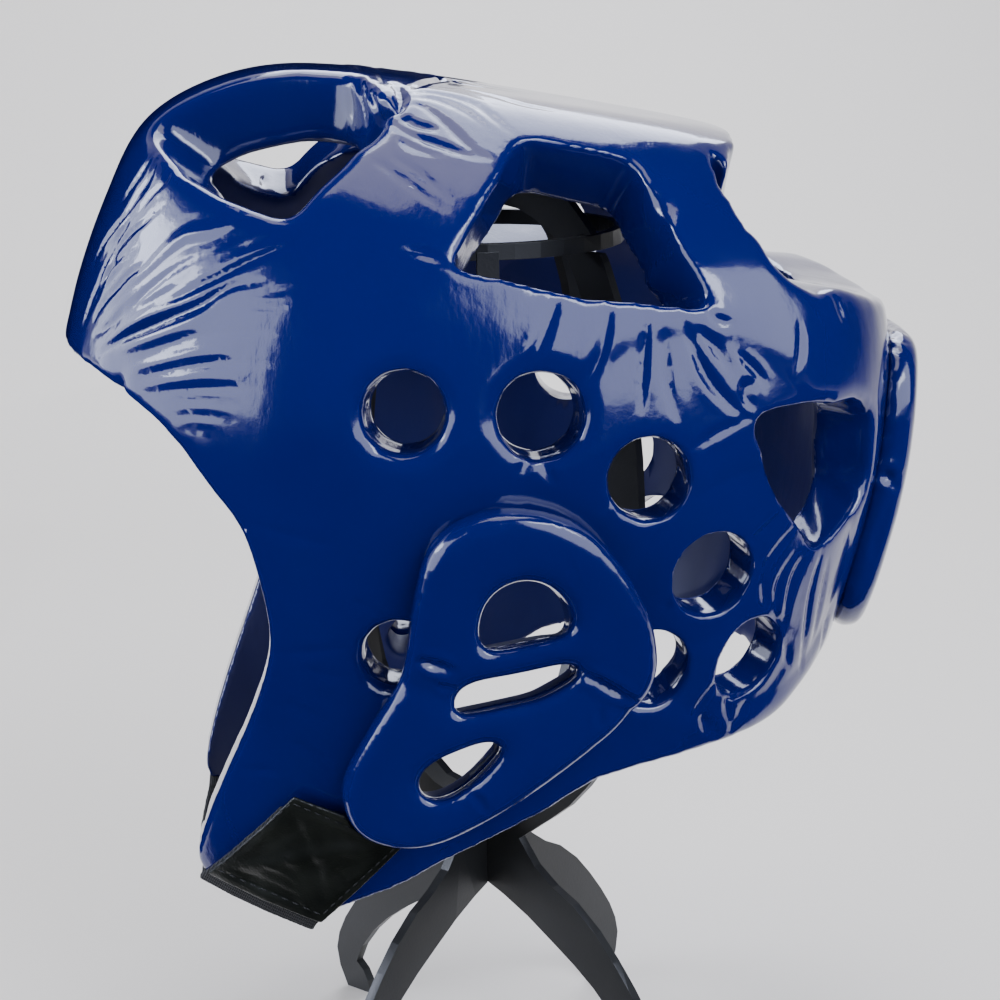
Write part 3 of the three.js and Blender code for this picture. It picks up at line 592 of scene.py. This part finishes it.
def dish_vents(wrinkles):
    """Lets the skin dip towards each vent's rim."""
    for (x, y), radius in VENTS:
        spots = [(x + radius * math.cos(turn), y + radius * math.sin(turn)) for turn in RIM_TURNS]
        rim = [wrinkles.spot(*spot) for spot in spots]
        rim = [place for place in rim if place is not None]
        middle = sum(rim, Vector()) / len(rim)
        wide = sum((place - middle).length for place in rim) / len(rim)
        for side in BOTH:
            mirrored = Vector((middle.x * side, middle.y, middle.z))
            wrinkles.dip(mirrored, wide, VENT_DIP, VENT_DIP_REACH)


def add_shell():
    """The foam shell, with rounded window edges and all its wrinkles."""
    shell = soft_copy("foam_shell", "foam_shell_skin", SHELL_VOXEL, SHELL_TURNS, SHELL_EDGE_REACH)
    places = places_of(shell)
    forward = smooth_step(-places[:, 1], *FRONT_WINDOW_FORWARD)
    high = smooth_step(places[:, 2], *FRONT_WINDOW_HEIGHT)
    backward = smooth_step(places[:, 1], *REAR_WINDOW_BACK)
    smoothed(shell, FRONT_WINDOW_TURNS * forward * high + REAR_WINDOW_TURNS * backward)
    wrinkles = Wrinkles(shell, shell)
    for points, width, depth in FAN + CREASES + KNOT_GATHERS:
        wrinkles.stroke(points, width * MM, depth * MM)
    edge_gathers(wrinkles)
    dish_vents(wrinkles)
    wrinkles.apply()
    smoothed(shell, np.ones(len(shell.data.vertices)))
    thinned(shell, MOST_TRIANGLES)
    return shell


def add_pad(node, name, seat):
    """A pad whose outer edges are rounded off, while its foot on the shell keeps its outline."""
    pad = merged_copy(node, name)
    remeshed(pad, PAD_VOXEL)
    nearest = [seat.find_nearest(place) for place in places_of(pad)]
    outward_ways = np.array([hit[1] for hit in nearest])
    height = np.array([hit[3] for hit in nearest])
    smoothed(pad, PAD_TURNS + PAD_ROUNDING_TURNS * smooth_step(height, *PAD_ROUNDING_HEIGHT))
    foot = 1 - smooth_step(height, *PAD_SINK_HEIGHT)
    set_places(pad, places_of(pad) - outward_ways * PAD_SINK * foot[:, None])
    smoothed(pad, PAD_FOOT_TURNS * (1 - smooth_step(height, *PAD_FOOT_HEIGHT)))
    shade_smooth(pad.data)
    return pad


def fold(pad, carrier, folds, sides):
    """Presses folds into a pad."""
    wrinkles = Wrinkles(pad, carrier)
    for points, width, depth in folds:
        wrinkles.stroke(points, width * MM, depth * MM, sides=sides)
    wrinkles.apply()


# Chin strap and its patch


def add_strap():
    """The elastic, with rounded edges."""
    strap = soft_copy("chin_strap", "chin_strap_elastic", STRAP_VOXEL, STRAP_TURNS, BAND_EDGE_REACH)
    thinned(strap, MOST_STRAP_TRIANGLES)
    return strap


def seams():
    """The sides of the patch's sewn line, each as its two corners."""
    return zip(TAB_STITCH_LINE, TAB_STITCH_LINE[1:])


def add_tab():
    """The leather-like patch, drawn in along its stitches and softly dented between them."""
    tab = soft_copy("strap_tab", "strap_tab_leather", TAB_VOXEL, TAB_TURNS, BAND_EDGE_REACH)
    wrinkles = Wrinkles(tab, tab)
    for start, end in seams():
        line = [between(start, end, share) for share in SEAM_SHARES]
        wrinkles.stroke(line, SEAM_WIDTH, SEAM_DEPTH, SEAM_LIPS, LEFT)
    for points, width, depth in TAB_DENTS:
        wrinkles.stroke(points, width * MM, depth * MM, DENT_LIPS, LEFT)
    wrinkles.apply()
    thinned(tab, MOST_STRAP_TRIANGLES)
    return tab


def add_stitch(work, middle, way, normal):
    turn = Matrix((way, normal.cross(way), normal)).transposed().to_4x4()
    shape = Matrix.Diagonal((STITCH_LENGTH / 2, STITCH_RADIUS, STITCH_RADIUS, 1))
    place = Matrix.Translation(middle) @ turn @ shape
    bmesh.ops.create_uvsphere(work, u_segments=10, v_segments=8, radius=1.0, matrix=place)


def add_stitches(tab):
    """Short rounded stitches along the patch's sewn line."""
    skin = skin_of(tab)
    work = bmesh.new()
    for start, end in seams():
        spots = [between(start, end, step / SEAM_SAMPLES) for step in range(SEAM_SAMPLES + 1)]
        hits = [skin.ray_cast(CAMERA_PLACE, picture_ray(x, y)) for x, y in spots]
        hits = [hit for hit in hits if hit[0] is not None]
        travelled = 0.0
        next_start = STITCH_GAP
        for last, hit in zip(hits, hits[1:]):
            travelled += (hit[0] - last[0]).length
            if travelled >= next_start:
                way = (hit[0] - last[0]).normalized()
                add_stitch(work, hit[0] + hit[1] * STITCH_RADIUS * STITCH_RISE, way, hit[1])
                next_start = travelled + STITCH_LENGTH + STITCH_GAP
    data = bpy.data.meshes.new("strap_tab_stitching")
    work.to_mesh(data)
    work.free()
    shade_smooth(data)
    return linked("strap_tab_stitching", data)


# Materials

# Colours are linear red, green and blue. A larger scale makes finer noise, waves and cells
DARK_BLUE = (0.0007, 0.0036, 0.078)
BLUE = (0.0011, 0.0052, 0.1)
# The elastic's colours are painted shade: darkest in its grooves, darker on its ribs' sides than on
# their tops
ELASTIC_GROOVE_PAINTED_SHADE = (0.0015, 0.0015, 0.0015)
ELASTIC_RIB_SIDE_PAINTED_SHADE = (0.006, 0.006, 0.0062)
ELASTIC_RIB = (0.013, 0.013, 0.0132)
DARK_THREAD = (0.004, 0.004, 0.004)
THREAD = (0.014, 0.015, 0.014)
DARK_LEATHER = (0.004, 0.005, 0.004)
LEATHER = (0.012, 0.014, 0.011)
DARK_PLASTIC = (0.009, 0.0095, 0.0095)
PLASTIC = (0.016, 0.0165, 0.0165)
FLOOR_COLOUR = (0.74, 0.69, 0.6)

# The noise that looks pulled runs up and down the shell: it changes more slowly in height
PULLED_UPWARD = (1, 1, 0.22)

# The flap's end slants by this much, and the elastic with it
FLAP_END_TURN = math.radians(24.6)

# A face belongs to the shell's inside where it looks towards the head's middle by more than this
# cosine
HEAD_MIDDLE = (0.0, 0.0, 0.19)
INSIDE_COSINE = 0.45

STAND_EDGE_RADIUS = 0.7 * MM
STAND_EDGE_SEGMENTS = 3


class Shader:
    """A new material with its node tree's usual pieces."""

    def __init__(self, name):
        self.material = bpy.data.materials.new(name)
        self.material.use_nodes = True
        self.tree = self.material.node_tree
        self.surface = self.tree.nodes["Principled BSDF"]
        self.place = self.add("ShaderNodeTexCoord").outputs["Object"]

    def add(self, kind, **values):
        node = self.tree.nodes.new(kind)
        for name, value in values.items():
            setattr(node, name, value)
        return node

    def link(self, source, target):
        self.tree.links.new(source, target)

    def set(self, **values):
        """Sets inputs of the surface, with _ for a space in their names."""
        for name, value in values.items():
            self.surface.inputs[name.replace("_", " ")].default_value = value

    def feed(self, **sources):
        """Links outputs of other nodes to inputs of the surface, named as in set."""
        for name, source in sources.items():
            self.link(source, self.surface.inputs[name.replace("_", " ")])

    def stretched(self, scale, turn=(0, 0, 0)):
        mapping = self.add("ShaderNodeMapping")
        mapping.inputs["Scale"].default_value = scale
        mapping.inputs["Rotation"].default_value = turn
        self.link(self.place, mapping.inputs["Vector"])
        return mapping.outputs["Vector"]

    def noise(self, scale, detail=4.0, rough=0.5, vector=None):
        node = self.add("ShaderNodeTexNoise")
        node.inputs["Scale"].default_value = scale
        node.inputs["Detail"].default_value = detail
        node.inputs["Roughness"].default_value = rough
        self.link(vector or self.place, node.inputs["Vector"])
        return node.outputs["Fac"]

    def waves(self, direction, scale, vector):
        node = self.add("ShaderNodeTexWave", wave_type="BANDS", bands_direction=direction)
        node.inputs["Scale"].default_value = scale
        node.inputs["Distortion"].default_value = 0.6
        node.inputs["Detail Scale"].default_value = 2.0
        self.link(vector, node.inputs["Vector"])
        return node.outputs["Fac"]

    def ramp(self, value, stops):
        """A colour that goes through the stops, each a position and a colour."""
        node = self.add("ShaderNodeValToRGB")
        elements = node.color_ramp.elements
        elements[0].position, elements[0].color = stops[0][0], (*stops[0][1], 1)
        elements[1].position, elements[1].color = stops[-1][0], (*stops[-1][1], 1)
        for position, colour in stops[1:-1]:
            element = elements.new(position)
            element.color = (*colour, 1)
        self.link(value, node.inputs["Fac"])
        return node.outputs["Color"]

    def spread(self, value, low, high):
        node = self.add("ShaderNodeMapRange")
        node.inputs["To Min"].default_value = low
        node.inputs["To Max"].default_value = high
        self.link(value, node.inputs["Value"])
        return node.outputs["Result"]

    def bump(self, height, distance, strength=1.0, normal=None):
        node = self.add("ShaderNodeBump")
        node.inputs["Distance"].default_value = distance
        node.inputs["Strength"].default_value = strength
        self.link(height, node.inputs["Height"])
        if normal is not None:
            self.link(normal, node.inputs["Normal"])
        return node.outputs["Normal"]


def vinyl(name, coat, scuffs):
    """The dipped skin. Scuffs are added to its roughness: the shell's inside is dull."""
    shader = Shader(name)
    shader.set(Coat_Weight=coat, Coat_Roughness=0.045, IOR=1.5)
    colour = shader.ramp(shader.noise(9.0, detail=3.0), [(0.3, DARK_BLUE), (0.7, BLUE)])
    rough = shader.spread(shader.noise(55.0, detail=5.0), 0.06 + scuffs, 0.2 + scuffs)
    swells = shader.noise(30.0, detail=3.0)
    pulled = shader.noise(120.0, rough=0.55, vector=shader.stretched(PULLED_UPWARD))
    grain = shader.noise(190.0, rough=0.6)
    normal = shader.bump(swells, 0.6 * MM, strength=0.35)
    normal = shader.bump(pulled, 0.35 * MM, strength=0.5, normal=normal)
    normal = shader.bump(grain, 0.12 * MM, strength=0.6, normal=normal)
    shader.feed(Base_Color=colour, Roughness=rough, Normal=normal)
    return shader.material


def elastic():
    """Ribbed webbing. Its ribs run square to the flap's slanting end, and its picks cross them."""
    shader = Shader("black_elastic")
    shader.set(Roughness=0.85, Sheen_Weight=0.08)
    slanted = shader.stretched((1, 1, 1), (FLAP_END_TURN, 0, 0))
    ribs = shader.waves("Y", 520.0, slanted)
    picks = shader.waves("Z", 300.0, slanted)
    # Painted shade: the colour follows the ribs, darkest in the grooves and lightest on the rib tops
    colour = shader.ramp(ribs, [(0.0, ELASTIC_GROOVE_PAINTED_SHADE), (0.6, ELASTIC_RIB_SIDE_PAINTED_SHADE), (1.0, ELASTIC_RIB)])
    normal = shader.bump(ribs, 0.4 * MM)
    normal = shader.bump(picks, 0.2 * MM, strength=0.6, normal=normal)
    normal = shader.bump(shader.noise(900.0), 0.2 * MM, strength=0.4, normal=normal)
    shader.feed(Base_Color=colour, Normal=normal)
    return shader.material


def thread():
    shader = Shader("black_thread")
    shader.set(Roughness=0.6)
    twist = shader.waves("DIAGONAL", 900.0, shader.place)
    colour = shader.ramp(twist, [(0.2, DARK_THREAD), (0.8, THREAD)])
    shader.feed(Base_Color=colour, Normal=shader.bump(twist, 0.1 * MM))
    return shader.material


def leather():
    """A leather-like black, with fine cells and slight swells."""
    shader = Shader("black_leather")
    colour = shader.ramp(shader.noise(60.0), [(0.3, DARK_LEATHER), (0.7, LEATHER)])
    rough = shader.spread(shader.noise(140.0), 0.24, 0.42)
    cells = shader.add("ShaderNodeTexVoronoi", feature="DISTANCE_TO_EDGE")
    cells.inputs["Scale"].default_value = 900.0
    shader.link(shader.place, cells.inputs["Vector"])
    normal = shader.bump(cells.outputs["Distance"], 0.2 * MM, strength=0.5)
    normal = shader.bump(shader.noise(70.0, detail=5.0), 1.2 * MM, strength=0.5, normal=normal)
    shader.feed(Base_Color=colour, Roughness=rough, Normal=normal)
    return shader.material


def plastic():
    shader = Shader("black_plastic")
    colour = shader.ramp(shader.noise(30.0), [(0.3, DARK_PLASTIC), (0.7, PLASTIC)])
    rough = shader.spread(shader.noise(240.0), 0.32, 0.46)
    normal = shader.bump(shader.noise(1100.0, detail=3.0), 0.08 * MM, strength=0.5)
    shader.feed(Base_Color=colour, Roughness=rough, Normal=normal)
    return shader.material


def floor_paint():
    shader = Shader("floor_paint")
    shader.set(Base_Color=(*FLOOR_COLOUR, 1), Roughness=0.6)
    return shader.material


def dress(obj, material, slot, *nodes):
    """Gives a piece its material and its body, in place of some nodes. The slot is not used."""
    obj.data.materials.clear()
    obj.data.materials.append(material)
    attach(obj, "root")
    if nodes:
        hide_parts(*nodes)


def line_inside(obj, material):
    """Gives the faces that look in towards the head the inner skin's material."""
    obj.data.materials.append(material)
    head = Vector(HEAD_MIDDLE)
    for face in obj.data.polygons:
        if face.normal.dot((head - face.center).normalized()) > INSIDE_COSINE:
            face.material_index = 1


def soften_edges(obj, radius):
    """Rounds the edges of one of the stand's solids."""
    weld = obj.modifiers.new("weld", "WELD")
    weld.merge_threshold = SAME_PLACE
    bevel = obj.modifiers.new("bevel", "BEVEL")
    bevel.width = radius
    bevel.segments = STAND_EDGE_SEGMENTS
    bevel.limit_method = "ANGLE"
    bevel.angle_limit = SHARP_ANGLE


# Stage

# The floor runs from near to far and bends up into the backdrop
FLOOR_NEAR = 1.6
FLOOR_FAR = 1.4
FLOOR_HALF_WIDTH = 3.0
BACKDROP_BEND = 0.7
BACKDROP_HEIGHT = 2.4
BEND_STEPS = 12

# Soft lights that point at the lit spot: azimuth and elevation in degrees, distance and size in m, and
# power in W
LIT_SPOT = Vector((0, 0, 0.2))
LIGHT_TINT = (0.76, 0.82, 1.0)
LIGHTS = [
    ("front_window", 9, 14, 1.5, (2.4, 1.0), 34),
    ("rear_window", 131, 26, 1.5, (2.0, 1.3), 34),
    ("back_window", -102, 54, 1.4, (0.85, 1.5), 27),
    ("front_pane", 2, 23, 1.45, (0.8, 0.28), 8),
    ("rear_pane", 128, 40, 1.45, (0.9, 0.26), 8),
]
CEILING_PLACE = Vector((0.1, -0.1, 2.2))
CEILING_SIZE = (1.1, 1.1)
CEILING_POWER = 10
CEILING_TINT = (1.0, 0.98, 0.95)
WORLD_COLOUR = (0.55, 0.6, 0.7, 1)
WORLD_STRENGTH = 0.06

# The black cards: two lie on the floor, on the camera's side of the object and before its face, given
# by their ranges of x and of y. One stands beyond the object, given by the two ends of its foot
CARD_FOOT = 0.003
FRONT_CARD = ((0.05, 1.6), (-1.5, 1.5))
LEFT_CARD = ((-1.0, 0.05), (-1.5, -0.22))
SIDE_CARD_ENDS = ((-0.62, -0.92), (-1.1, 0.1))
SIDE_CARD_HEIGHT = 0.8


def add_floor(material):
    """A plain floor that curves up into a plain backdrop behind the object."""
    bend_start = -FLOOR_FAR + BACKDROP_BEND
    profile = [(FLOOR_NEAR, 0.0), (0.0, 0.0), (bend_start, 0.0)]
    for step in range(1, BEND_STEPS + 1):
        turn = math.pi / 2 * step / BEND_STEPS
        x = bend_start - BACKDROP_BEND * math.sin(turn)
        profile.append((x, BACKDROP_BEND - BACKDROP_BEND * math.cos(turn)))
    profile.append((-FLOOR_FAR, BACKDROP_HEIGHT))
    verts = [(x, y, z) for x, z in profile for y in (-FLOOR_HALF_WIDTH, FLOOR_HALF_WIDTH)]
    faces = [(2 * i, 2 * i + 1, 2 * i + 3, 2 * i + 2) for i in range(len(profile) - 1)]
    data = bpy.data.meshes.new("floor")
    data.from_pydata(verts, [], faces)
    shade_smooth(data)
    data.materials.append(material)
    linked("floor", data)


def add_light(name, place, size, power, colour):
    data = bpy.data.lights.new(name, "AREA")
    data.shape = "RECTANGLE"
    data.size, data.size_y = size
    data.energy = power
    data.color = colour
    light = linked(name, data)
    light.location = place
    light.rotation_mode = "QUATERNION"
    light.rotation_quaternion = (LIT_SPOT - place).to_track_quat("-Z", "Y")


def light_stage():
    world = bpy.data.worlds.new("world")
    bpy.context.scene.world = world
    world.use_nodes = True
    background = world.node_tree.nodes["Background"]
    background.inputs["Color"].default_value = WORLD_COLOUR
    background.inputs["Strength"].default_value = WORLD_STRENGTH
    for name, azimuth, elevation, distance, size, power in LIGHTS:
        way = outward(math.radians(azimuth), math.radians(elevation))
        add_light(name, LIT_SPOT + way * distance, size, power, LIGHT_TINT)
    add_light("ceiling", CEILING_PLACE, CEILING_SIZE, CEILING_POWER, CEILING_TINT)


def add_card(name, corners):
    """A black card that shows only in reflections, so that the sides it faces mirror dark."""
    data = bpy.data.meshes.new(name)
    data.from_pydata(corners, [], [(0, 1, 2, 3)])
    shader = Shader(name + "_black")
    shader.set(Base_Color=(0, 0, 0, 1), Roughness=1.0, Specular_IOR_Level=0.0)
    data.materials.append(shader.material)
    card = linked(name, data)
    card.visible_camera = False
    card.visible_diffuse = False
    card.visible_shadow = False


def add_lying_card(name, x_range, y_range):
    (x0, x1), (y0, y1) = x_range, y_range
    corners = [(x0, y0), (x1, y0), (x1, y1), (x0, y1)]
    add_card(name, [(x, y, CARD_FOOT) for x, y in corners])


def add_cards():
    add_lying_card("front_card", *FRONT_CARD)
    add_lying_card("left_card", *LEFT_CARD)
    a, b = SIDE_CARD_ENDS
    top = SIDE_CARD_HEIGHT
    add_card("side_card", [(*a, CARD_FOOT), (*b, CARD_FOOT), (*b, top), (*a, top)])


# The whole scene

add_camera()

blue = vinyl("blue_vinyl", coat=0.55, scuffs=0.0)
inner_blue = vinyl("blue_vinyl_inside", coat=0.0, scuffs=0.35)
black_plastic = plastic()
black_elastic = elastic()
black_leather = leather()

shell = add_shell()
dress(shell, blue, "vinyl", "foam_shell")
line_inside(shell, inner_blue)
seat = seat_of("foam_shell")
ear_pad = add_pad("ear_pad_left", "ear_pad_left_skin", seat)
other_ear_pad = add_pad("ear_pad_right", "ear_pad_right_skin", seat)
nape_pad = add_pad("nape_pad", "nape_pad_skin", seat)
fold(other_ear_pad, ear_pad, EAR_PAD_FOLDS, RIGHT)
fold(ear_pad, ear_pad, EAR_PAD_FOLDS, LEFT)
fold(nape_pad, nape_pad, NAPE_PAD_FOLDS, BOTH)
for pad, node in ((ear_pad, "ear_pad_left"), (other_ear_pad, "ear_pad_right"), (nape_pad, "nape_pad")):
    dress(pad, blue, "vinyl", node)

strap = add_strap()
dress(strap, black_elastic, "elastic", "chin_strap")
tab = add_tab()
dress(tab, black_leather, "strap_leather", "strap_tab")
dress(add_stitches(tab), thread(), "strap_leather")

for node in ("stand_plate_lower", "stand_plate_upper", "stand_ring"):
    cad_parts[node].data.materials.clear()
    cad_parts[node].data.materials.append(black_plastic)
    soften_edges(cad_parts[node], STAND_EDGE_RADIUS)

add_floor(floor_paint())
add_cards()
light_stage()
